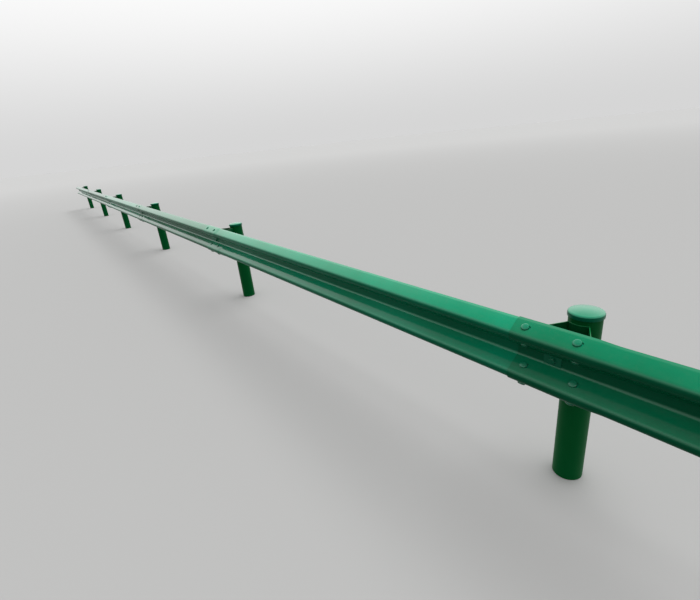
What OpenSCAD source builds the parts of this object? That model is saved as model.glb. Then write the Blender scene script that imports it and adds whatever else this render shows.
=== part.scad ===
// Highway guardrail: six bays of two-wave beam on seven round posts.
// X runs along the rail, the road is on the -Y side and Z is up.
// The origin is at the foot of the middle post, at ground level.
// Each beam panel laps in front of the panel on its -X side, and the lap is over a post.

/* [Run] */
// Distance from post to post
post_spacing = 4000; // [2000:100:5000]
// Height of the beam's centre line above the ground
beam_height = 760; // [550:5:900]

/* [Posts] */
// Outside diameter of the post tube
post_d = 140; // [114:1:168]
// Wall of the post tube
post_wall = 4.5; // [3:0.5:8]
// Height of the tube's top end above the beam's centre line
post_above_beam = 140; // [125:5:220]

/* [Post caps] */
// Gap between the tube and the cap's skirt
cap_clearance = 2.5; // [0.5:0.5:5]
// Wall of the cap's skirt and crown
cap_wall = 3; // [2:0.5:5]
// Thickness of the cap over the tube's end
cap_seat = 6; // [5:0.5:10]
// Depth of the skirt below the tube's end
cap_skirt = 18; // [8:1:40]
// Radius of the cap's rounded rim
cap_rim_r = 10; // [4:1:11]
// Rise of the domed crown above the rim
cap_rise = 8; // [3:1:16]

/* [Block-outs] */
// Depth of the block-out, from the post's front to the beam's back
block_depth = 178; // [130:1:240]
// Greatest width, at half of its depth
block_w = 196; // [160:1:260]
// Height of the block-out
block_h = 200; // [120:5:240]
// Thickness of its bent plate
block_wall = 4.5; // [3:0.5:6]
// Width of the flat face that the beam is bolted to
block_face_w = 90; // [60:1:120]
// Width of the curved seat on the post
block_seat_w = 90; // [60:1:100]
// Inside radius of the plate's bends
block_bend_r = 8; // [4:1:16]

/* [Beam panels] */
// Height of the section, edge to edge
beam_w = 310; // [300:1:330]
// Depth of the section, front of the waves to the back
beam_depth = 85; // [75:1:95]
// Thickness of the sheet
beam_t = 4; // [2.5:0.5:5]
// Distance between the crests of the two waves
crest_gap = 192; // [180:1:200]
// Inside radius of the bends at the crests and in the valley
bend_r = 24; // [18:1:28]
// Inside radius of the bend to the edge strip
edge_bend_r = 10; // [6:1:14]
// Width of the edge strip past its bend
edge_strip_w = 14; // [8:1:20]
// Angle of the inner slopes to the face of the rail
inner_slope = 55; // [50:1:60]
// Angle of the outer slopes to the face of the rail
outer_slope = 55; // [50:1:60]
// Angle of the edge strips to the face of the rail
edge_slope = 80; // [70:1:88]

/* [Splices] */
// Length that two panels lap at a post
lap = 320; // [280:10:400]
// Gap left by the paint between two lapped sheets
lap_gap = 0.3; // [0.1:0.1:1]
// Length over which the front panel settles back behind its lap
lap_runout = 90; // [40:5:200]
// Distance from the splice's centre to a column of bolts
splice_column_x = 108; // [80:1:130]
// Diameter of the round holes, and width of the slots
splice_hole_d = 20; // [17:0.5:24]
// Length of the slots in the front panel
splice_slot_l = 36; // [24:1:40]
// Distance from a bolt to the middle of its slot, as the front panel sits along the rail
slot_offset = 7; // [-8:1:8]
// Length of the front panel's slot at the post bolt
post_slot_l = 50; // [24:1:70]
// Diameter of the holes for the bolts through block-out and post
post_bolt_hole_d = 18; // [17:0.5:22]

/* [Hidden] */
posts = [1:7];
panels = [1:6];
middle_post = 4;
post_r = post_d / 2;
post_top = beam_height + post_above_beam;
cap_inner_r = post_r + cap_clearance;
cap_r = cap_inner_r + cap_wall;
beam_back_y = -(post_r + block_depth);
wave = beam_depth - beam_t;
neutral_r = bend_r + beam_t / 2;
edge_neutral_r = edge_bend_r + beam_t / 2;
lap_step = beam_t + lap_gap;
hole_cut = 40;
arc_step_angle = 12;
runout_steps = 3;
paint = [0.04, 0.36, 0.24];

function post_x(i) = (i - middle_post) * post_spacing;

// Angles of the points along an arc, both ends included
function arc_angles(from, to) =
    let (steps = ceil(abs(to - from) / arc_step_angle))
    [for (k = [0:steps]) from + (to - from) * k / steps];

// Points on an arc in the plane, from one angle to the other
function arc(centre, r, from, to) = [for (a = arc_angles(from, to)) centre + r * [cos(a), sin(a)]];

// Corner of a closed outline with its point replaced by an arc of radius r
function rounded_corner(before, p, after, r) =
    let (
        u = (before - p) / norm(before - p),
        v = (after - p) / norm(after - p),
        half = acos(u * v) / 2,
        centre = p + (u + v) / norm(u + v) * r / sin(half),
        first = p + u * r / tan(half),
        last = p + v * r / tan(half),
        from = atan2(first.y - centre.y, first.x - centre.x),
        turn = atan2(last.y - centre.y, last.x - centre.x) - from,
        short_turn = turn > 180 ? turn - 360 : turn < -180 ? turn + 360 : turn
    )
    arc(centre, r, from, from + short_turn);

function rounded(points, r) =
    let (n = len(points))
    [for (k = [0:n - 1]) each rounded_corner(points[(k + n - 1) % n], points[k], points[(k + 1) % n], r)];

// Point where the lines through two edges meet, both moved inwards by t
function inset_corner(before, p, after, t) =
    let (
        u = (p - before) / norm(p - before),
        v = (after - p) / norm(after - p),
        normal_u = [-u.y, u.x],
        normal_v = [-v.y, v.x]
    )
    p + (normal_u + normal_v) * t / (1 + normal_u * normal_v);

function inset(points, t) =
    let (n = len(points))
    [for (k = [0:n - 1]) inset_corner(points[(k + n - 1) % n], points[k], points[(k + 1) % n], t)];

// The beam's section is a bent sheet. Its neutral line is [forward, up] from the middle of the
// valley's back. Every arc and straight joins its neighbour smoothly, so the faces of the sheet,
// or of a sheet lapped over it, are the same line with every point moved along its normal.
valley_half_flat = crest_gap / 2 - 2 * neutral_r * sin(inner_slope)
    - (wave - 2 * neutral_r * (1 - cos(inner_slope))) / tan(inner_slope);
valley_centre = [neutral_r, valley_half_flat];
crest_centre = [wave - neutral_r, crest_gap / 2];

// The outer slope runs from its start, at the crest, as far up as leaves room for the edge strip
outer_normal = [cos(outer_slope), sin(outer_slope)];
edge_normal = [cos(edge_slope), sin(edge_slope)];
slope_start = crest_centre + neutral_r * outer_normal;
slope_rise = beam_w / 2 - slope_start.y - beam_t / 2 * edge_normal.y
    - edge_neutral_r * (edge_normal.y - outer_normal.y) - edge_strip_w * edge_normal.x;
slope_end = slope_start + slope_rise * [-tan(outer_slope), 1];
edge_centre = slope_end - edge_neutral_r * outer_normal;
edge_tip = edge_centre + edge_neutral_r * edge_normal + edge_strip_w * [-edge_normal.y, edge_normal.x];

// Points along one bend, each as [point, forward normal]
function bend_points(centre, r, from, to, side) =
    [for (a = arc_angles(from, to)) let (n = [cos(a), sin(a)]) [centre + r * n, side * n]];

// The upper half of the line, from the valley to the edge
upper_half = concat(
    bend_points(valley_centre, neutral_r, 180, 180 - inner_slope, -1),
    bend_points(crest_centre, neutral_r, -inner_slope, outer_slope, 1),
    bend_points(edge_centre, edge_neutral_r, outer_slope, edge_slope, 1),
    [[edge_tip, edge_normal]]
);

function flipped(point_and_normal) = [for (v = point_and_normal) [v.x, -v.y]];
whole_line = concat(
    [for (k = [len(upper_half) - 1:-1:0]) flipped(upper_half[k])],
    upper_half
);

// Section line moved forward by d from the neutral line
function sheet_line(d) = [for (p = whole_line) p[0] + d * p[1]];

// Closed outline of the sheet when it stands proud of its own place by d
function sheet_outline(d) = let (back = sheet_line(d - beam_t / 2), front = sheet_line(d + beam_t / 2))
    concat(back, [for (k = [len(front) - 1:-1:0]) front[k]]);

// Puts a length of section, drawn in [forward, up], along X at its place over the road edge
module along_rail(x_from) {
    translate([x_from, beam_back_y - beam_t / 2, beam_height])
        rotate([90, 0, 90])
            mirror([1, 0, 0])
                children();
}

module straight_sheet(x_from, x_to, proud) {
    along_rail(x_from)
        linear_extrude(x_to - x_from)
            polygon(sheet_outline(proud));
}

// The stretch where the front panel comes back to its own line behind the lapped one
module runout_sheet(x_from, x_to) {
    step = (x_to - x_from) / runout_steps;
    for (k = [0:runout_steps - 1]) {
        proud = lap_step * (1 - (k + 1) / (runout_steps + 1));
        straight_sheet(x_from + k * step, x_from + (k + 1) * step, proud);
    }
}

// Middle of each straight slope, and the holes there: [forward, up, angle of the normal above level]
inner_mid = (valley_centre + crest_centre) / 2;
outer_mid = (slope_start + slope_end) / 2;
slope_holes = [
    [outer_mid.x, outer_mid.y, outer_slope],
    [inner_mid.x, inner_mid.y, -inner_slope],
    [inner_mid.x, -inner_mid.y, inner_slope],
    [outer_mid.x, -outer_mid.y, -outer_slope]
];

// A hole whose long way is along X, drilled from the road side at an angle above level
module slot(width, length) {
    reach = (length - width) / 2;
    for (s = [-1, 1]) translate([s * reach, 0, 0]) cylinder(d = width, h = hole_cut, center = true, $fn = 48);
    if (reach > 0) cube([2 * reach, width, hole_cut], center = true);
}

module hole_at(x, forward, up, tilt, length) {
    translate([x, beam_back_y - beam_t / 2 - forward, beam_height + up])
        rotate([90 - tilt, 0, 0])
            slot(splice_hole_d, length);
}

// All the holes of one panel end, around the centre of its splice and moved along by offset
module end_holes(x, slope_l, valley_l, offset) {
    for (s = [-1, 1]) for (h = slope_holes) hole_at(x + s * splice_column_x + offset, h.x, h.y, h.z, slope_l);
    hole_at(x + offset, 0, 0, 0, valley_l);
}

// The first panel starts flat on its block-out, because no panel lies behind its end
module panel(i) {
    x_from = post_x(i) - lap / 2;
    x_to = post_x(i + 1) + lap / 2;
    lap_end = x_from + lap + lap_gap;
    runout_end = lap_end + lap_runout;
    color(paint) difference() {
        if (i == panels[0]) {
            straight_sheet(x_from, x_to, 0);
        } else union() {
            straight_sheet(x_from, lap_end, lap_step);
            runout_sheet(lap_end, runout_end);
            straight_sheet(runout_end, x_to, 0);
        }
        end_holes(post_x(i), splice_slot_l, post_slot_l, slot_offset);
        end_holes(post_x(i + 1), splice_hole_d, splice_hole_d, 0);
    }
}

module post_bolt_hole(y_from, y_to) {
    translate([0, y_to, beam_height])
        rotate([90, 0, 0])
            cylinder(d = post_bolt_hole_d, h = y_to - y_from, $fn = 48);
}

module post(i) {
    color(paint) translate([post_x(i), 0, 0]) difference() {
        cylinder(r = post_r, h = post_top, $fn = 96);
        translate([0, 0, -1]) cylinder(r = post_r - post_wall, h = post_top + 2, $fn = 96);
        post_bolt_hole(-post_d, post_d);
    }
}

module cap(i) {
    flat_r = cap_r - cap_rim_r;
    dome_r = (flat_r * flat_r + cap_rise * cap_rise) / (2 * cap_rise);
    hollow_r = post_r - post_wall - cap_rim_r / 2;
    color(paint) translate([post_x(i), 0, post_top]) rotate_extrude($fn = 96) difference() {
        union() {
            translate([0, -cap_skirt]) square([flat_r, cap_skirt + cap_seat]);
            translate([0, -cap_skirt]) square([cap_r, cap_skirt + cap_seat - cap_rim_r]);
            intersection() {
                translate([flat_r, cap_seat - cap_rim_r]) circle(r = cap_rim_r, $fn = 64);
                translate([0, -cap_skirt]) square([cap_r, cap_skirt + cap_seat]);
            }
            intersection() {
                translate([0, cap_seat + cap_rise - dome_r]) circle(r = dome_r, $fn = 256);
                square([flat_r, cap_seat + cap_rise]);
            }
        }
        translate([-1, -cap_skirt - 1]) square([cap_inner_r + 1, cap_skirt + 1]);
        intersection() {
            translate([0, cap_seat + cap_rise - dome_r]) circle(r = dome_r - cap_wall, $fn = 256);
            translate([-1, -1]) square([hollow_r + 1, cap_seat + cap_rise]);
        }
    }
}

// Outer corners of the block-out's plan, anticlockwise, with the seat's ends on the post's face
seat_y = -sqrt(post_r * post_r - block_seat_w * block_seat_w / 4);
// The widest corner stands out by what its rounding takes off
wide_y = beam_back_y + block_depth / 2;
wide_half_angle = (atan2(wide_y - beam_back_y, (block_w - block_face_w) / 2)
    + atan2(seat_y - wide_y, (block_w - block_seat_w) / 2)) / 2;
wide_x = block_w / 2 + (block_bend_r + block_wall) * (1 / sin(wide_half_angle) - 1);
block_corners = [
    [-block_face_w / 2, beam_back_y],
    [block_face_w / 2, beam_back_y],
    [wide_x, wide_y],
    [block_seat_w / 2, seat_y],
    [-block_seat_w / 2, seat_y],
    [-wide_x, wide_y]
];

module block(i) {
    color(paint) translate([post_x(i), 0, 0]) difference() {
        translate([0, 0, beam_height - block_h / 2]) linear_extrude(block_h) difference() {
            polygon(rounded(block_corners, block_bend_r + block_wall));
            difference() {
                polygon(rounded(inset(block_corners, block_wall), block_bend_r));
                circle(r = post_r + block_wall, $fn = 96);
            }
            circle(r = post_r, $fn = 96);
        }
        post_bolt_hole(beam_back_y - 1, 0);
    }
}

for (i = posts) post(i);
for (i = posts) cap(i);
for (i = posts) block(i);
for (i = panels) panel(i);
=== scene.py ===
import math
import random

import bmesh
import bpy
import numpy as np
from mathutils import Matrix, Vector


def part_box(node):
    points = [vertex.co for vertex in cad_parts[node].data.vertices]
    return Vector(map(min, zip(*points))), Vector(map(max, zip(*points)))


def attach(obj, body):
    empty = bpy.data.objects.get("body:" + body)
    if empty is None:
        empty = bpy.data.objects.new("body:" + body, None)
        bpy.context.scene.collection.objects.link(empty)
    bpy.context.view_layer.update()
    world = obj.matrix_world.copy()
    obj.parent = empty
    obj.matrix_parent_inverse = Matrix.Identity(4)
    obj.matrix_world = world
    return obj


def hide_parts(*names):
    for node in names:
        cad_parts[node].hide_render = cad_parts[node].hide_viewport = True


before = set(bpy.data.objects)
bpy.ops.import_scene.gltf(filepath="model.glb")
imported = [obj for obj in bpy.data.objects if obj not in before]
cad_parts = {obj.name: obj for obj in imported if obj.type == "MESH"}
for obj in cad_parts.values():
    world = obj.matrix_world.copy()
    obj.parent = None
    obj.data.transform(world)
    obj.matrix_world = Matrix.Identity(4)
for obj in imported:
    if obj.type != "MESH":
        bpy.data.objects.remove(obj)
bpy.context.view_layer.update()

# Sizes of the rail, in metres, as in the part's source
POSTS = range(1, 8)
PANELS = range(1, 7)
NEAR_POST = 6
BEAM_Z = 0.760
BEAM_W = 0.310
SHEET = 0.004
BEAM_DEPTH = 0.085
CREST_HALF = 0.096
BEND_R = 0.026
EDGE_R = 0.012
EDGE_STRIP = 0.014
INNER_SLOPE = math.radians(55)
OUTER_SLOPE = math.radians(55)
EDGE_SLOPE = math.radians(80)
LAP = 0.320
LAP_STEP = 0.0043
LAP_RUNOUT = 0.090
COLUMN_X = 0.108
HOLE_D = 0.020
SLOT_L = 0.036
SLOT_OFFSET = 0.007
POST_SLOT_L = 0.050
POST_R = 0.070
POST_WALL = 0.0045
POST_TOP = 0.900
POST_HOLE_D = 0.018
CAP_R = 0.0755
CAP_SKIRT = 0.018
CAP_SEAT = 0.006
CAP_RIM = 0.010
CAP_RISE = 0.008
CAP_WALL = 0.003
BLOCK_DEPTH = 0.178
BLOCK_W = 0.196
BLOCK_H = 0.200
BLOCK_WALL = 0.0045
BLOCK_FACE_W = 0.090
BLOCK_SEAT_W = 0.090
BLOCK_BEND = 0.008

# Finish of the cut edges and of the shading, which the part's source doesn't have
TUBE_CHAMFER = 0.001
PLATE_CHAMFER = 0.0008
SHEET_ROUND = SHEET * 0.2
EASE_TO_EDGE = math.radians(14)
SHARP_ANGLE = 32

# Fasteners: M16 with button heads at the splices, hexagon heads at the posts
BOLT_R = 0.008
HEAD_R = 0.017
NUT_FLATS = 0.024
NUT_H = 0.0145
WASHER_R = 0.0165
WASHER_T = 0.003
PLATE = (0.076, 0.044, 0.004)
BOLT_TAIL = 0.006
SEATED = 0.002
HEXAGON, BUTTON, LOW_BUTTON = ("hexagon", 0.010), ("button", 0.008), ("button", 0.007)
BOLT_PLAY = (-0.0015, 0.001)
SEED = 7

# The camera, fitted to the places of the posts, caps and beam edges in the 700 by 600 frame
IMAGE_W = 700
SENSOR = 36.0
CAMERA_FROM_POST = Vector((0.757, -1.790, 1.710))
CAMERA_YAW, CAMERA_PITCH, CAMERA_ROLL = 145.08, -21.30, -5.84
CAMERA_FOCAL_PX = 413.4
CLIP_END = 500


def post_x(i):
    """Where post i stands along the run, from its solid."""
    low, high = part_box(f"post_{i}")
    return (low.x + high.x) / 2


BACK_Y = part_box("panel_1")[1].y
WAVE = BEAM_DEPTH - SHEET


# The section of the beam: points [forward, up] of the sheet's middle, each with its forward normal

def bend(centre, radius, start, end, side, steps=14):
    """Points along one arc, with normals that point out of it or, for a side of -1, into it."""
    points = []
    for k in range(steps + 1):
        a = start + (end - start) * k / steps
        n = Vector((math.cos(a), math.sin(a)))
        points.append((Vector(centre) + radius * n, side * n))
    return points


def section_line():
    """The whole section from its lower edge to its upper one, its shading normals, and the middles
    of the two slopes of the upper half."""
    valley_half = (CREST_HALF - 2 * BEND_R * math.sin(INNER_SLOPE)
                   - (WAVE - 2 * BEND_R * (1 - math.cos(INNER_SLOPE))) / math.tan(INNER_SLOPE))
    half = bend((BEND_R, valley_half), BEND_R, math.pi, math.pi - INNER_SLOPE, -1)
    crest = bend((WAVE - BEND_R, CREST_HALF), BEND_R, -INNER_SLOPE, OUTER_SLOPE, 1, 28)
    inner_mid = (half[-1][0] + crest[0][0]) / 2
    outer = Vector((math.cos(OUTER_SLOPE), math.sin(OUTER_SLOPE)))
    edge = Vector((math.cos(EDGE_SLOPE), math.sin(EDGE_SLOPE)))
    start = crest[-1][0]
    rise = (BEAM_W / 2 - start.y - SHEET / 2 * edge.y - EDGE_R * (edge.y - outer.y)
            - EDGE_STRIP * edge.x)
    end = start + rise * Vector((-math.tan(OUTER_SLOPE), 1))
    turn = bend(end - EDGE_R * outer, EDGE_R, OUTER_SLOPE, EDGE_SLOPE, 1, 6)
    tip = turn[-1][0] + EDGE_STRIP * Vector((-edge.y, edge.x))
    soft = [n for _, n in half + crest]
    for k in range(len(turn)):
        a = EDGE_SLOPE - EASE_TO_EDGE * (1 - k / (len(turn) - 1))
        soft.append(Vector((math.cos(a), math.sin(a))))
    soft.append(edge)
    half += crest + turn + [(tip, edge)]
    lower = [(Vector((p.x, -p.y)), Vector((n.x, -n.y))) for p, n in reversed(half)]
    soft = [Vector((n.x, -n.y)) for n in reversed(soft)] + soft
    return lower + half, soft, inner_mid, (start + end) / 2


# The section's points with their normals, and the normals it is shaded with: the outer slope flows
# softly into the edge strip
LINE, SOFT, INNER_MID, OUTER_MID = section_line()


def rail_point(x, forward, up):
    """A point of the section, [forward, up] from the valley's middle, at its place in the run."""
    return Vector((x, BACK_Y - SHEET / 2 - forward, BEAM_Z + up))


def slope_places():
    """Where the splice bolts sit on the section: [forward, up] and the normal there."""
    places = []
    for mid, angle in ((OUTER_MID, OUTER_SLOPE), (INNER_MID, -INNER_SLOPE)):
        for s in (1, -1):
            places.append((Vector((mid.x, s * mid.y)), Vector((math.cos(angle), s * math.sin(angle)))))
    return places


def link(obj):
    bpy.context.scene.collection.objects.link(obj)
    return obj


def mesh_object(name, verts, faces):
    """An object in the scene from points and faces."""
    mesh = bpy.data.meshes.new(name)
    mesh.from_pydata([tuple(v) for v in verts], [], faces)
    mesh.validate()
    return link(bpy.data.objects.new(name, mesh))


def solved(obj):
    """The object's evaluated shape as a plain mesh, with its modifiers gone."""
    graph = bpy.context.evaluated_depsgraph_get()
    graph.update()
    mesh = bpy.data.meshes.new_from_object(obj.evaluated_get(graph))
    obj.modifiers.clear()
    old = obj.data
    obj.data = mesh
    if old.users == 0:
        bpy.data.meshes.remove(old)
    return obj


def smooth(obj, angle=SHARP_ANGLE):
    """Smooth shading that breaks at sharp edges and lies flat on the wide faces."""
    mesh = obj.data
    mesh.polygons.foreach_set("use_smooth", [True] * len(mesh.polygons))
    mesh.set_sharp_from_angle(angle=math.radians(angle))
    weighted = obj.modifiers.new("flat faces", "WEIGHTED_NORMAL")
    weighted.keep_sharp = True
    solved(obj)


def merged_normals(obj):
    """Merges doubled points, drops loose edges and turns all faces outwards."""
    b = bmesh.new()
    b.from_mesh(obj.data)
    bmesh.ops.remove_doubles(b, verts=b.verts, dist=1e-6)
    bmesh.ops.delete(b, geom=[e for e in b.edges if not e.link_faces], context="EDGES")
    bmesh.ops.recalc_face_normals(b, faces=b.faces)
    b.to_mesh(obj.data)
    b.free()


def loft(name, rings):
    """A closed skin through rings of points, all of one length."""
    n = len(rings[0])
    verts = [p for ring in rings for p in ring]
    faces = []
    for r in range(len(rings) - 1):
        for k in range(n):
            a, b = r * n + k, r * n + (k + 1) % n
            faces.append((a, b, b + n, a + n))
    faces.append(tuple(range(n - 1, -1, -1)))
    faces.append(tuple((len(rings) - 1) * n + k for k in range(n)))
    obj = mesh_object(name, verts, faces)
    merged_normals(obj)
    return obj


def drilled(obj, cutters):
    """Cuts a mesh of cutter solids out of an object."""
    cutter = join("cutter", cutters)
    cut = obj.modifiers.new("holes", "BOOLEAN")
    cut.operation = "DIFFERENCE"
    cut.solver = "EXACT"
    cut.object = cutter
    solved(obj)
    bpy.data.objects.remove(cutter)
    return obj


def join(name, objects):
    """One object with the meshes of all of them, which are removed."""
    b = bmesh.new()
    for o in objects:
        b.from_mesh(o.data)
    mesh = bpy.data.meshes.new(name)
    b.to_mesh(mesh)
    b.free()
    for o in objects:
        bpy.data.objects.remove(o)
    return link(bpy.data.objects.new(name, mesh))


def slot_cutter(at, normal, length, width=HOLE_D, reach=0.03, steps=12):
    """A capsule prism along the normal, its long way along X."""
    along = Vector((1, 0, 0))
    across = normal.cross(along).normalized()
    outline = []
    for s in (1, -1):
        for k in range(steps + 1):
            a = -math.pi / 2 + math.pi * k / steps + (0 if s > 0 else math.pi)
            outline.append(along * (s * (length - width) / 2 + width / 2 * math.cos(a))
                           + across * (width / 2 * math.sin(a)))
    return loft("slot", [[at + p + normal * d for p in outline] for d in (-reach, reach)])


def ease(t):
    """A soft step from 0 to 1."""
    return t * t * (3 - 2 * t)


# Beam panels

def sheet_ring(x, proud):
    """The sheet's closed outline at x, with its cut edges slightly rounded."""
    half = SHEET / 2
    back = [p + (proud - half) * n for p, n in LINE]
    front = [p + (proud + half) * n for p, n in LINE]
    tips = []
    for k, inward in ((-1, -2), (0, 1)):
        n = LINE[k][1]
        along = (LINE[inward][0] - LINE[k][0]).normalized() * SHEET_ROUND
        turn = n * SHEET_ROUND
        tips.append((back[k] + along, back[k] + turn, front[k] - turn, front[k] + along))
    high, low = tips
    ring = [low[0]] + back[1:-1] + list(high) + front[-2:0:-1] + [low[3], low[2], low[1]]
    return [rail_point(x, p.x, p.y) for p in ring]


def end_cutters(x, slope_l, post_l):
    """The holes of one panel end, round the splice's centre."""
    cutters = []
    for mid, n in slope_places():
        for s in (-1, 1):
            at = rail_point(x + s * COLUMN_X, mid.x, mid.y)
            cutters.append(slot_cutter(at, Vector((0, -n.x, n.y)), slope_l))
    cutters.append(slot_cutter(rail_point(x, 0, 0), Vector((0, -1, 0)), post_l))
    return cutters


def rolled_normals(panel, lap_end):
    """Gives the sheet's two sides the normals of the rolled section, also where holes cut its faces."""
    # A face belongs to one of the two sides where the section's normal is this close to its own
    along_side = 0.97
    mesh = panel.data
    mesh.polygons.foreach_set("use_smooth", [True] * len(mesh.polygons))
    mesh.set_sharp_from_angle(angle=math.radians(SHARP_ANGLE))
    at = np.array([tuple(v.co) for v in mesh.vertices])
    spot = np.stack([BACK_Y - SHEET / 2 - at[:, 1], at[:, 2] - BEAM_Z], axis=1)
    line = np.array([tuple(p) for p, _ in LINE])
    normal = np.array([tuple(n) for n in SOFT])
    run = line[1:] - line[:-1]
    t = ((spot[:, None] - line[:-1]) * run).sum(2) / (run ** 2).sum(1)
    t = t.clip(0, 1)[:, :, None]
    nearest = np.linalg.norm(line[:-1] + t * run - spot[:, None], axis=2).argmin(1)
    each = np.arange(len(at))
    part = t[each, nearest]
    flat = normal[nearest] * (1 - part) + normal[nearest + 1] * part
    down = ((at[:, 0] - lap_end) / LAP_RUNOUT).clip(0, 1)
    lean = LAP_STEP / LAP_RUNOUT * 6 * down * (1 - down)
    true = np.stack([lean, -flat[:, 0], flat[:, 1]], axis=1)
    true /= np.linalg.norm(true, axis=1)[:, None]
    normals = [Vector(c.vector) for c in mesh.corner_normals]
    for face in mesh.polygons:
        for k in face.loop_indices:
            n = Vector(true[mesh.loops[k].vertex_index])
            side = n.dot(face.normal)
            if abs(side) > along_side:
                normals[k] = n if side > 0 else -n
    mesh.normals_split_custom_set(normals)


def make_panel(i):
    """One panel: its lapped start stands proud of the panel behind it, and the first one has none."""
    start, end = post_x(i) - LAP / 2, post_x(i + 1) + LAP / 2
    lap_end = start + LAP
    if i == PANELS[0]:
        rings = [sheet_ring(x, 0) for x in np.linspace(start, end, 15)]
    else:
        rings = [sheet_ring(start, LAP_STEP), sheet_ring(lap_end, LAP_STEP)]
        for k in range(1, 11):
            rings.append(sheet_ring(lap_end + LAP_RUNOUT * k / 10, LAP_STEP * (1 - ease(k / 10))))
        rings += [sheet_ring(x, 0) for x in np.linspace(lap_end + LAP_RUNOUT, end, 12)[1:]]
    panel = loft(f"beam_{i}", rings)
    slots = end_cutters(post_x(i) + SLOT_OFFSET, SLOT_L, POST_SLOT_L)
    drilled(panel, slots + end_cutters(post_x(i + 1), HOLE_D, HOLE_D))
    rolled_normals(panel, lap_end if i > PANELS[0] else start)
    return panel


# Posts, caps and block-outs

def turned(name, x, z, profile, steps=96):
    """A closed outline of (radius, height) turned round the post's axis."""
    n = len(profile)
    rings = []
    for k in range(steps):
        a = 2 * math.pi * k / steps
        rings.append([Vector((x + r * math.cos(a), r * math.sin(a), z + h)) for r, h in profile])
    verts = [p for ring in rings for p in ring]
    faces = []
    for k in range(steps):
        for j in range(n):
            a, b = k * n + j, k * n + (j + 1) % n
            c, d = ((k + 1) % steps) * n + (j + 1) % n, ((k + 1) % steps) * n + j
            faces.append((a, b, c, d))
    obj = mesh_object(name, verts, faces)
    merged_normals(obj)
    return obj


def post_bolt_cutter(i, y, reach):
    """The hole of the post bolt, as far as reach to both sides of y."""
    at = Vector((post_x(i), y, BEAM_Z))
    return slot_cutter(at, Vector((0, 1, 0)), POST_HOLE_D, POST_HOLE_D, reach)


def make_post(i):
    """An open tube with the hole of the post bolt through both walls."""
    chamfer = TUBE_CHAMFER
    inner = POST_R - POST_WALL
    profile = [(POST_R - chamfer, 0), (POST_R, chamfer)]
    profile += [(POST_R, POST_TOP * k / 12) for k in range(1, 12)]
    profile += [(POST_R, POST_TOP - chamfer), (POST_R - chamfer, POST_TOP)]
    profile += [(inner, POST_TOP), (inner, 0)]
    post = turned(f"tube_{i}", post_x(i), 0, profile)
    drilled(post, [post_bolt_cutter(i, 0, 0.2)])
    smooth(post)
    return post


def make_cap(i):
    """A domed lid with a rounded rim, whose skirt goes round the tube's end."""
    flat = CAP_R - CAP_RIM
    dome = (flat * flat + CAP_RISE * CAP_RISE) / (2 * CAP_RISE)
    inner = CAP_R - CAP_WALL
    profile = [(inner, 0), (inner, -CAP_SKIRT)]
    profile += [(CAP_R - PLATE_CHAMFER, -CAP_SKIRT), (CAP_R, -CAP_SKIRT + PLATE_CHAMFER)]
    for k in range(11):
        a = math.pi / 2 * k / 10
        profile.append((flat + CAP_RIM * math.cos(a), CAP_SEAT - CAP_RIM + CAP_RIM * math.sin(a)))
    lean = math.asin(flat / dome)
    for k in range(1, 13):
        a = lean * (1 - k / 12)
        profile.append((dome * math.sin(a), CAP_SEAT + CAP_RISE - dome + dome * math.cos(a)))
    profile[-1] = (0.0, profile[-1][1])
    profile += [(0.0, 0.0)]
    cap = turned(f"cap_top_{i}", post_x(i), POST_TOP, profile)
    smooth(cap, 50)
    return cap


def rounded_path(corners, radii, steps=8):
    """Closed outline with each corner replaced by an arc."""
    out = []
    n = len(corners)
    for k in range(n):
        p, before, after = corners[k], corners[k - 1], corners[(k + 1) % n]
        u, v = (before - p).normalized(), (after - p).normalized()
        half = u.angle(v) / 2
        centre = p + (u + v).normalized() * radii[k] / math.sin(half)
        first = p + u * radii[k] / math.tan(half) - centre
        last = p + v * radii[k] / math.tan(half) - centre
        turn = first.angle_signed(last)
        for j in range(steps + 1):
            spin = Matrix.Rotation(-turn * j / steps, 2)
            out.append(centre + spin @ first)
    return out


def block_outline(out):
    """The block-out's plan, moved outwards by out from its outer face, with its seat still straight."""
    face, seat, wide = BLOCK_FACE_W / 2, BLOCK_SEAT_W / 2, BLOCK_W / 2
    radius = BLOCK_BEND + BLOCK_WALL
    seat_y = -math.sqrt(POST_R ** 2 - seat ** 2)
    wide_y = BACK_Y + BLOCK_DEPTH / 2
    # The widest corner stands out by what its rounding takes off
    corner = (math.atan2(wide_y - BACK_Y, wide - face) + math.atan2(seat_y - wide_y, wide - seat)) / 2
    wide += radius * (1 / math.sin(corner) - 1)
    corners = [Vector((-seat, seat_y)), Vector((-wide, wide_y)), Vector((-face, BACK_Y)),
               Vector((face, BACK_Y)), Vector((wide, wide_y)), Vector((seat, seat_y))]
    path = rounded_path(corners, [0.002] + [radius] * 4 + [0.002])
    n = len(path)
    moved = []
    for k in range(n):
        t = (path[(k + 1) % n] - path[k - 1]).normalized()
        moved.append(path[k] + Vector((t.y, -t.x)) * out)
    return moved


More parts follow.
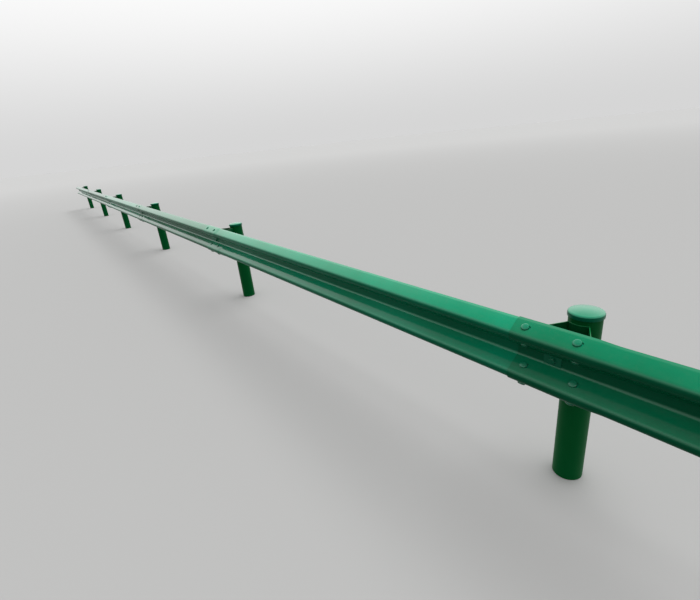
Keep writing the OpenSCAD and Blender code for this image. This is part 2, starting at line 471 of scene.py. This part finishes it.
def make_block(i):
    """A plate bent into a ring: straight sides, with its back wrapped round the front of the post."""
    outer, inner = block_outline(0), block_outline(-BLOCK_WALL)
    chamfer = PLATE_CHAMFER
    low, high = BEAM_Z - BLOCK_H / 2, BEAM_Z + BLOCK_H / 2
    x = post_x(i)

    def seated(path, radius):
        """The path kept outside the radius, with its back closed by an arc round the post."""
        points = []
        for p in path:
            if p.length < radius:
                p = p.normalized() * radius
            points.append(p)
        back = points[-1], points[0]
        a0 = math.atan2(back[0].y, back[0].x)
        a1 = math.atan2(back[1].y, back[1].x)
        arc = [Vector((math.cos(a), math.sin(a))) * radius for a in np.linspace(a0, a1, 16)[1:-1]]
        return points + arc

    out_path, in_path = seated(outer, POST_R), seated(inner, POST_R + BLOCK_WALL)
    n = len(out_path)
    rings = []
    for k in range(n):
        o, q = out_path[k], in_path[k]
        u = (q - o).normalized() * chamfer
        corners = ((o, low + chamfer), (o, high - chamfer), (o + u, high), (q - u, high),
                   (q, high - chamfer), (q, low + chamfer), (q - u, low), (o + u, low))
        rings.append([Vector((x + p.x, p.y, z)) for p, z in corners])
    m = len(rings[0])
    verts = [p for ring in rings for p in ring]
    faces = []
    for k in range(n):
        for j in range(m):
            faces.append((k * m + j, k * m + (j + 1) % m,
                          ((k + 1) % n) * m + (j + 1) % m, ((k + 1) % n) * m + j))
    block = mesh_object(f"block_plate_{i}", verts, faces)
    merged_normals(block)
    drilled(block, [post_bolt_cutter(i, -0.16, 0.12)])
    smooth(block)
    return block


# Fasteners: a Geometry Nodes tree makes one bolt and puts it on every point of a set

class Tree:
    """A Geometry Nodes group, with a method for each kind of step."""

    def __init__(self, name):
        self.group = bpy.data.node_groups.new(name, "GeometryNodeTree")
        self.group.interface.new_socket("Geometry", in_out="INPUT", socket_type="NodeSocketGeometry")
        self.group.interface.new_socket("Geometry", in_out="OUTPUT", socket_type="NodeSocketGeometry")
        self.source = self.group.nodes.new("NodeGroupInput")
        self.sink = self.group.nodes.new("NodeGroupOutput")

    def size(self, name, value):
        """A named input of the group."""
        item = self.group.interface.new_socket(name, in_out="INPUT", socket_type="NodeSocketFloat")
        item.default_value = value
        return self.source.outputs[name]

    def node(self, kind, settings=None, inputs=None, **named):
        """Adds a node, with its settings and the values or links of its sockets."""
        n = self.group.nodes.new(kind)
        for key, value in (settings or {}).items():
            setattr(n, key, value)
        for key, value in list((inputs or {}).items()) + list(named.items()):
            socket = n.inputs[key]
            if isinstance(value, bpy.types.NodeSocket):
                self.group.links.new(value, socket)
            else:
                socket.default_value = value
        return n.outputs

    def math(self, operation, a, b=0.0):
        return self.node("ShaderNodeMath", {"operation": operation}, {0: a, 1: b})[0]

    def total(self, *values):
        result = values[0]
        for v in values[1:]:
            result = self.math("ADD", result, v)
        return result

    def minus(self, value):
        return self.math("MULTIPLY", value, -1.0)

    def raised(self, geometry, z):
        """The geometry moved up by z."""
        up = self.node("ShaderNodeCombineXYZ", Z=z)[0]
        return self.node("GeometryNodeTransform", Geometry=geometry, Translation=up)[0]

    def disc(self, radius, height, z, sides=32):
        """A closed prism that stands on z."""
        made = self.node("GeometryNodeMeshCylinder", {"fill_type": "NGON"},
                         Vertices=sides, Radius=radius, Depth=height)[0]
        return self.raised(made, self.total(self.math("MULTIPLY", height, 0.5), z))

    def reshaped(self, geometry, radial, height):
        """Every vertex scaled out from Z by one value and set at another height."""
        at = self.node("GeometryNodeInputPosition")[0]
        parts = self.node("ShaderNodeSeparateXYZ", Vector=at)
        new = self.node("ShaderNodeCombineXYZ", X=self.math("MULTIPLY", parts[0], radial(parts[2])),
                        Y=self.math("MULTIPLY", parts[1], radial(parts[2])), Z=height(parts[2]))[0]
        return self.node("GeometryNodeSetPosition", Geometry=geometry, Position=new)[0]

    def button(self, radius, height, z, rim=0.0022):
        """A button head: a ball whose lower half is pressed flat and whose upper half is a low dome."""
        ball = self.node("GeometryNodeMeshUVSphere", Segments=32, Rings=16, Radius=1.0)[0]
        rise = self.math("SUBTRACT", height, rim)
        equator, taper = 0.01, 0.04

        def lifted(up):
            above = self.math("MULTIPLY", self.math("GREATER_THAN", up, equator), rim)
            dome = self.math("MULTIPLY", self.math("MAXIMUM", up, 0.0), rise)
            return self.total(above, dome, z)

        def spread(up):
            under = self.math("MULTIPLY", self.math("LESS_THAN", up, -equator), taper)
            return self.math("MULTIPLY", radius, self.math("SUBTRACT", 1.0, under))
        return self.reshaped(ball, spread, lifted)

    def hexagon(self, radius, height, z):
        """A six-sided head or nut with its top corners turned off."""
        turned_from, turned_by = 0.38, 0.9
        made = self.node("GeometryNodeMeshCylinder", {"fill_type": "NGON"},
                         {"Side Segments": 10}, Vertices=6, Radius=radius, Depth=1.0)[0]

        def spread(up):
            past = self.math("MAXIMUM", self.math("SUBTRACT", up, turned_from), 0.0)
            return self.math("SUBTRACT", 1.0, self.math("MULTIPLY", past, turned_by))

        def lifted(up):
            return self.total(self.math("MULTIPLY", self.total(up, 0.5), height), z)
        return self.reshaped(made, spread, lifted)

    def joined(self, parts):
        n = self.group.nodes.new("GeometryNodeJoinGeometry")
        for part in parts:
            self.group.links.new(part, n.inputs[0])
        return n.outputs[0]

    def on_points(self, shape, material):
        """Puts the shape on every point, its Z along the point's axis, and ends the tree."""
        axis = self.node("GeometryNodeInputNamedAttribute", {"data_type": "FLOAT_VECTOR"}, Name="axis")[0]
        turn = self.node("GeometryNodeInputNamedAttribute", {"data_type": "FLOAT"}, Name="turn")[0]
        align = self.node("FunctionNodeAlignRotationToVector", {"axis": "Z"}, Vector=axis)[0]
        spin = self.node("FunctionNodeAxisAngleToRotation", Axis=(0.0, 0.0, 1.0), Angle=turn)[0]
        both = self.node("FunctionNodeRotateRotation", {"rotation_space": "LOCAL"},
                         {"Rotation": align, "Rotate By": spin})[0]
        placed = self.node("GeometryNodeInstanceOnPoints", Points=self.source.outputs["Geometry"],
                           Instance=shape, Rotation=both)[0]
        real = self.node("GeometryNodeRealizeInstances", Geometry=placed)[0]
        done = self.node("GeometryNodeSetMaterial", Geometry=real, Material=material)[0]
        self.group.links.new(done, self.sink.inputs["Geometry"])
        return self.group


def bolt_group(name, material, grip, head, plate=None):
    """A bolt along Z with its head on z = 0 and its washer and nut below the grip."""
    t = Tree(name)
    bolt_r = t.size("Bolt radius", BOLT_R)
    clamped = t.size("Grip", grip)
    washer_r, washer_t = t.size("Washer radius", WASHER_R), t.size("Washer thickness", WASHER_T)
    hex_r = t.size("Hexagon radius", NUT_FLATS / math.sqrt(3))
    nut_h, head_h = t.size("Nut height", NUT_H), t.size("Head height", head[1])
    washer_z = t.minus(t.total(clamped, washer_t))
    nut_z = t.math("SUBTRACT", washer_z, nut_h)
    tail_z = t.math("SUBTRACT", nut_z, t.size("Tail", BOLT_TAIL))
    parts = [t.disc(washer_r, washer_t, washer_z), t.hexagon(hex_r, nut_h, nut_z)]
    if plate:
        made = t.node("GeometryNodeMeshCube", Size=plate)[0]
        parts.append(t.raised(made, plate[2] / 2))
        seat = plate[2]
    elif head[0] == "hexagon":
        parts.append(t.disc(washer_r, washer_t, 0.0))
        seat = washer_t
    else:
        seat = 0.0
    if head[0] == "hexagon":
        parts.append(t.hexagon(hex_r, head_h, seat))
    else:
        parts.append(t.button(t.size("Head radius", HEAD_R), head_h, seat))
    top = t.total(t.math("MULTIPLY", head_h, 0.5), seat)
    parts.append(t.disc(bolt_r, t.math("SUBTRACT", top, tail_z), tail_z, 24))
    return t.on_points(t.joined(parts), material)


def dressed(name, places, group, bevel=0.0005):
    """Loose points, each with a bolt's place, axis and turn, turned into bolts by a group."""
    mesh = bpy.data.meshes.new(name)
    mesh.from_pydata([tuple(p) for p, _, _ in places], [], [])
    axis = mesh.attributes.new("axis", "FLOAT_VECTOR", "POINT")
    axis.data.foreach_set("vector", [c for _, a, _ in places for c in a])
    turn = mesh.attributes.new("turn", "FLOAT", "POINT")
    turn.data.foreach_set("value", [t for _, _, t in places])
    obj = link(bpy.data.objects.new(name, mesh))
    obj.modifiers.new("bolts", "NODES").node_group = group
    solved(obj)
    merged_normals(obj)
    edge = obj.modifiers.new("edge", "BEVEL")
    edge.width = bevel
    edge.segments = 2
    edge.limit_method = "ANGLE"
    edge.angle_limit = math.radians(40)
    solved(obj)
    smooth(obj, 35)
    return obj


# Materials

class Sock:
    """A shader socket that takes part in sums: the operators add Math nodes."""

    def __init__(self, shader, socket):
        self.shader, self.socket = shader, socket

    def _math(self, operation, a, b):
        return self.shader.node("ShaderNodeMath", {"operation": operation}, i0=a, i1=b)[0]

    def __add__(self, other):
        return self._math("ADD", self, other)

    def __radd__(self, other):
        return self._math("ADD", other, self)

    def __sub__(self, other):
        return self._math("SUBTRACT", self, other)

    def __rsub__(self, other):
        return self._math("SUBTRACT", other, self)

    def __mul__(self, other):
        return self._math("MULTIPLY", self, other)

    def __rmul__(self, other):
        return self._math("MULTIPLY", other, self)

    def above(self, edge, width):
        """0 below the edge, 1 above it, with a soft step of that width."""
        return self.shader.node("ShaderNodeMapRange", {"interpolation_type": "SMOOTHSTEP"}, Value=self,
                                From_Min=edge - width / 2, From_Max=edge + width / 2)[0]


class Shader:
    """One material's node tree."""

    def __init__(self, name):
        self.material = bpy.data.materials.new(name)
        self.material.use_nodes = True
        self.tree = self.material.node_tree
        self.base = self.tree.nodes["Principled BSDF"]
        self.place = self.node("ShaderNodeTexCoord", _out="Object")
        facing = self.node("ShaderNodeNewGeometry", _out="Normal")
        self.up = self.node("ShaderNodeSeparateXYZ", Vector=facing)[2]

    def node(self, kind, settings=None, _out=None, _outs=(), **inputs):
        """Adds a node and gives its outputs, or those that are named. An input i0 is the first socket."""
        n = self.tree.nodes.new(kind)
        for key, value in (settings or {}).items():
            setattr(n, key, value)
        for key, value in inputs.items():
            numbered = key[0] == "i" and key[1:].isdigit()
            self.put(value, n.inputs[int(key[1:]) if numbered else key.replace("_", " ")])
        if _out:
            return Sock(self, n.outputs[_out])
        if _outs:
            return [Sock(self, n.outputs[name]) for name in _outs]
        return [Sock(self, s) for s in n.outputs]

    def put(self, value, socket):
        """Links a socket's value or sets a plain one."""
        if isinstance(value, Sock):
            self.tree.links.new(value.socket, socket)
        else:
            socket.default_value = value

    def noise(self, scale, detail, rough, stretch=None):
        at = self.place
        if stretch:
            at = self.node("ShaderNodeMapping", Vector=at, Scale=stretch)[0]
        return self.node("ShaderNodeTexNoise", Vector=at, Scale=scale, Detail=detail, Roughness=rough)[0]

    def mix(self, factor, a, b):
        """Colour a where the factor is 0 and b where it is 1, on the Mix node's colour sockets."""
        n = self.tree.nodes.new("ShaderNodeMix")
        n.data_type = "RGBA"
        self.put(factor, n.inputs[0])
        self.put(a, n.inputs[6])
        self.put(b, n.inputs[7])
        return Sock(self, n.outputs[2])

    def bump(self, height, strength, distance):
        return self.node("ShaderNodeBump", Height=height, Strength=strength, Distance=distance)[0]

    def set(self, **inputs):
        """Fills sockets of the Principled BSDF and gives the material."""
        for key, value in inputs.items():
            self.put(value, self.base.inputs[key.replace("_", " ")])
        return self.material


def linear(r, g, b):
    """Colour from the 0 to 255 values of a screen to Blender's own."""
    def one(v):
        v /= 255
        return v / 12.92 if v <= 0.04045 else ((v + 0.055) / 1.055) ** 2.4
    return (one(r), one(g), one(b), 1.0)


# Tint of the paint's reflections, colour of the dust, and painted shade: the dark green mixed into faces
# turned from the sky, in place of the shade they get
SHEEN = (0.12, 0.9, 0.5, 1)
DUST = linear(150, 152, 134)
PAINTED_SHADE = (0, 0.02, 0.006, 1)
PAINTED_SHADE_SHARE = 0.62
COAT_IOR = 1.55


def green_coat(name, deep, light, gloss, dust, ior):
    """Powder coat: green and a little cloudy, with orange peel and faint dust. It is glossy on the
    faces that look up, which the rain washes, and duller on the others, which are also darkened with
    painted shade."""
    s = Shader(name)
    cloud = s.noise(scale=1.7, detail=4.0, rough=0.6)
    fine = s.noise(scale=45.0, detail=4.0, rough=0.65)
    peel = s.noise(scale=500.0, detail=2.0, rough=0.5)
    streak = s.noise(scale=6.0, detail=5.0, rough=0.65, stretch=(0.2, 1.0, 1.0))
    settled = s.up.above(edge=0.6, width=1.0) * 0.75 + 0.25
    specks = streak.above(edge=0.55, width=0.4) * 0.7 + fine.above(edge=0.6, width=0.3) * 0.3
    dusty = settled * specks * dust
    paint = s.mix(cloud.above(edge=0.5, width=0.6), linear(*deep), linear(*light))
    # Faces that look up: glossy, and free of the painted shade, a dark green mixed into the colour of all
    # other faces
    washed_and_lit = s.up.above(edge=0.45, width=0.6)
    colour = s.mix((1.0 - washed_and_lit) * PAINTED_SHADE_SHARE, s.mix(dusty, paint, DUST), PAINTED_SHADE)
    rough = dusty * 0.5 + fine * 0.04 + gloss + (1.0 - washed_and_lit) * 0.2
    uneven = s.bump(height=peel * 0.6 + fine * 0.4, strength=0.04, distance=0.0005)
    return s.set(Base_Color=colour, Roughness=rough, IOR=ior, Specular_Tint=SHEEN,
                 Coat_Weight=washed_and_lit * 0.95 + 0.05, Coat_Roughness=gloss, Coat_IOR=COAT_IOR, Normal=uneven)


# Name, darkest and lightest screen colour, gloss, dust and refraction of each paint. Every other
# panel is painted lighter: painted light, standing in for the differing light that neighbouring panels
# catch
GREEN_BEAMS = (green_coat("green_coat_beam", (0, 134, 90), (2, 157, 112), 0.08, 0.12, 1.12),
               green_coat("green_coat_beam_painted_light", (3, 160, 114), (6, 180, 134), 0.08, 0.12, 1.12))
GREEN_POST = green_coat("green_coat_post", (0, 146, 70), (0, 156, 78), 0.22, 0.12, 1.15)
GREEN_CAP = green_coat("green_coat_cap", (2, 160, 119), (10, 174, 134), 0.1, 0.2, 1.3)
GREEN_BLOCK = green_coat("green_coat_block", (0, 130, 70), (0, 140, 78), 0.22, 0.12, 1.15)
GREEN_BOLT = green_coat("green_coat_bolt", (8, 142, 104), (20, 164, 124), 0.14, 0.3, 1.3)


def finish_piece(obj, material, node=None):
    """Gives a piece its material and body, and hides the node that it replaces if there is one."""
    obj.data.materials.clear()
    obj.data.materials.append(material)
    if node:
        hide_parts(node)
    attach(obj, "root")


for i in PANELS:
    finish_piece(make_panel(i), GREEN_BEAMS[i % 2], f"panel_{i}")
for i in POSTS:
    finish_piece(make_post(i), GREEN_POST, f"post_{i}")
    finish_piece(make_cap(i), GREEN_CAP, f"cap_{i}")
    finish_piece(make_block(i), GREEN_BLOCK, f"block_{i}")


def splice_places():
    """Eight button heads a splice, each a little off the middle of its round hole."""
    chance = random.Random(SEED)
    places = []
    for i in POSTS[1:-1]:
        for mid, n in slope_places():
            for s in (-1, 1):
                at = mid + n * (LAP_STEP + SHEET / 2)
                x = post_x(i) + s * COLUMN_X + chance.uniform(*BOLT_PLAY)
                turn = chance.uniform(0, math.tau)
                places.append((rail_point(x, at.x, at.y), Vector((0, -n.x, n.y)), turn))
    return places


def valley_places(at_lap):
    """One bolt and plate washer a post, on the beam in its valley."""
    places = []
    for i in POSTS:
        lapped = POSTS[0] < i < POSTS[-1]
        if lapped == at_lap:
            forward = SHEET / 2 + (LAP_STEP if lapped else 0)
            places.append((rail_point(post_x(i), forward, 0), Vector((0, -1, 0)), 0.0))
    return places


def post_places():
    """One bolt a post: a low head seated in the tube's back, and its nut inside the block-out."""
    return [(Vector((post_x(i), POST_R - SEATED, BEAM_Z)), Vector((0, 1, 0)), 0.0) for i in POSTS]


# Name, places, grip, head, plate washer and slot of each kind
FASTENERS = (
    ("splice_bolts", splice_places(), SHEET + LAP_STEP, BUTTON, None, "panel"),
    ("lap_bolts", valley_places(True), SHEET + LAP_STEP + BLOCK_WALL, HEXAGON, PLATE, "panel"),
    ("end_bolts", valley_places(False), SHEET + BLOCK_WALL, HEXAGON, PLATE, "panel"),
    ("post_bolts", post_places(), 2 * POST_R + BLOCK_WALL - SEATED, LOW_BUTTON, None, "post"),
)
for name, places, grip, head, plate, slot in FASTENERS:
    group = bolt_group(name, GREEN_BOLT, grip, head, plate)
    finish_piece(dressed(name, places, group), GREEN_BOLT)


# Floor, light and camera

FLOOR_SIZE = 400.0
PALE_NEAR, PALE_FAR = (0.52, 0.52, 0.515, 1), (0.635, 0.635, 0.63, 1)
SKY_LOW, SKY_TOP = 0.67, 0.2
SKY_LIGHT = 0.4
GROUND = (0.07, 0.065, 0.055, 1)
FADE_AT, FADE_WIDTH = 30, 58
SUN_POWER, SUN_SPREAD, SUN_TILT = 2.05, math.radians(60), math.radians(-16)


def pale_floor():
    """Pale to the camera and in reflections, paler far off, and dark where it throws light back."""
    s = FLOOR_SIZE / 2
    floor = mesh_object("floor", [(-s, -s, 0), (s, -s, 0), (s, s, 0), (-s, s, 0)], [(0, 1, 2, 3)])
    shader = Shader("floor")
    rays = shader.node("ShaderNodeLightPath",
                       _outs=("Is Camera Ray", "Is Glossy Ray", "Is Transmission Ray"))
    seen = shader.node("ShaderNodeMath", {"operation": "MAXIMUM"}, i0=rays[0], i1=rays[1])[0]
    seen = shader.node("ShaderNodeMath", {"operation": "MAXIMUM"}, i0=seen, i1=rays[2])[0]
    away = shader.node("ShaderNodeVectorMath", {"operation": "DISTANCE"}, _out="Value",
                       i0=shader.place, i1=(post_x(NEAR_POST), 0, 0))
    pale = shader.mix(away.above(FADE_AT, FADE_WIDTH), PALE_NEAR, PALE_FAR)
    colour = shader.mix(seen, GROUND, pale)
    floor.data.materials.append(shader.set(Base_Color=colour, Roughness=1.0, Specular_IOR_Level=0.0))


def overcast_sky():
    """Where it is seen, grey at the horizon, white above it and dim overhead; even where it only lights."""
    world = bpy.data.worlds.new("sky")
    bpy.context.scene.world = world
    world.use_nodes = True
    tree = world.node_tree
    at = tree.nodes.new("ShaderNodeTexCoord")
    parts = tree.nodes.new("ShaderNodeSeparateXYZ")
    tree.links.new(at.outputs["Generated"], parts.inputs[0])
    bands = []
    for low, high, start, end in ((0.0, 0.35, SKY_LOW, 1.0), (0.45, 0.95, 1.0, SKY_TOP)):
        band = tree.nodes.new("ShaderNodeMapRange")
        band.interpolation_type = "SMOOTHSTEP"
        for name, value in (("From Min", low), ("From Max", high), ("To Min", start), ("To Max", end)):
            band.inputs[name].default_value = value
        tree.links.new(parts.outputs["Z"], band.inputs["Value"])
        bands.append(band.outputs[0])
    seen = tree.nodes.new("ShaderNodeMath")
    seen.operation = "MULTIPLY"
    for k in range(2):
        tree.links.new(bands[k], seen.inputs[k])
    path = tree.nodes.new("ShaderNodeLightPath")
    mix = tree.nodes.new("ShaderNodeMix")
    mix.inputs[3].default_value = SKY_LIGHT
    tree.links.new(path.outputs["Is Diffuse Ray"], mix.inputs[0])
    tree.links.new(seen.outputs[0], mix.inputs[2])
    tree.links.new(mix.outputs[0], tree.nodes["Background"].inputs["Strength"])
    tree.nodes["Background"].inputs["Color"].default_value = (1, 1, 1, 1)


def overhead_light():
    """A very wide sun that isn't seen in reflections."""
    light = bpy.data.lights.new("overhead", "SUN")
    light.energy = SUN_POWER
    light.angle = SUN_SPREAD
    lamp = link(bpy.data.objects.new("overhead", light))
    lamp.rotation_euler = (SUN_TILT, 0, 0)
    lamp.visible_glossy = False


def camera():
    """The fitted camera, placed from the near post's foot."""
    yaw, pitch, roll = (math.radians(a) for a in (CAMERA_YAW, CAMERA_PITCH, CAMERA_ROLL))
    ahead = Vector((math.cos(pitch) * math.cos(yaw), math.cos(pitch) * math.sin(yaw), math.sin(pitch)))
    right = ahead.cross(Vector((0, 0, 1))).normalized()
    up = right.cross(ahead)
    right, up = (right * math.cos(roll) + up * math.sin(roll),
                 up * math.cos(roll) - right * math.sin(roll))
    data = bpy.data.cameras.new("camera")
    data.sensor_width = SENSOR
    data.lens = CAMERA_FOCAL_PX / IMAGE_W * SENSOR
    data.clip_end = CLIP_END
    cam = link(bpy.data.objects.new("camera", data))
    place = Vector((post_x(NEAR_POST), 0, 0)) + CAMERA_FROM_POST
    turn = Matrix((right, up, -ahead)).transposed().to_4x4()
    cam.matrix_world = Matrix.Translation(place) @ turn
    bpy.context.scene.camera = cam


pale_floor()
overcast_sky()
overhead_light()
camera()
bpy.context.scene.view_settings.view_transform = "Standard"
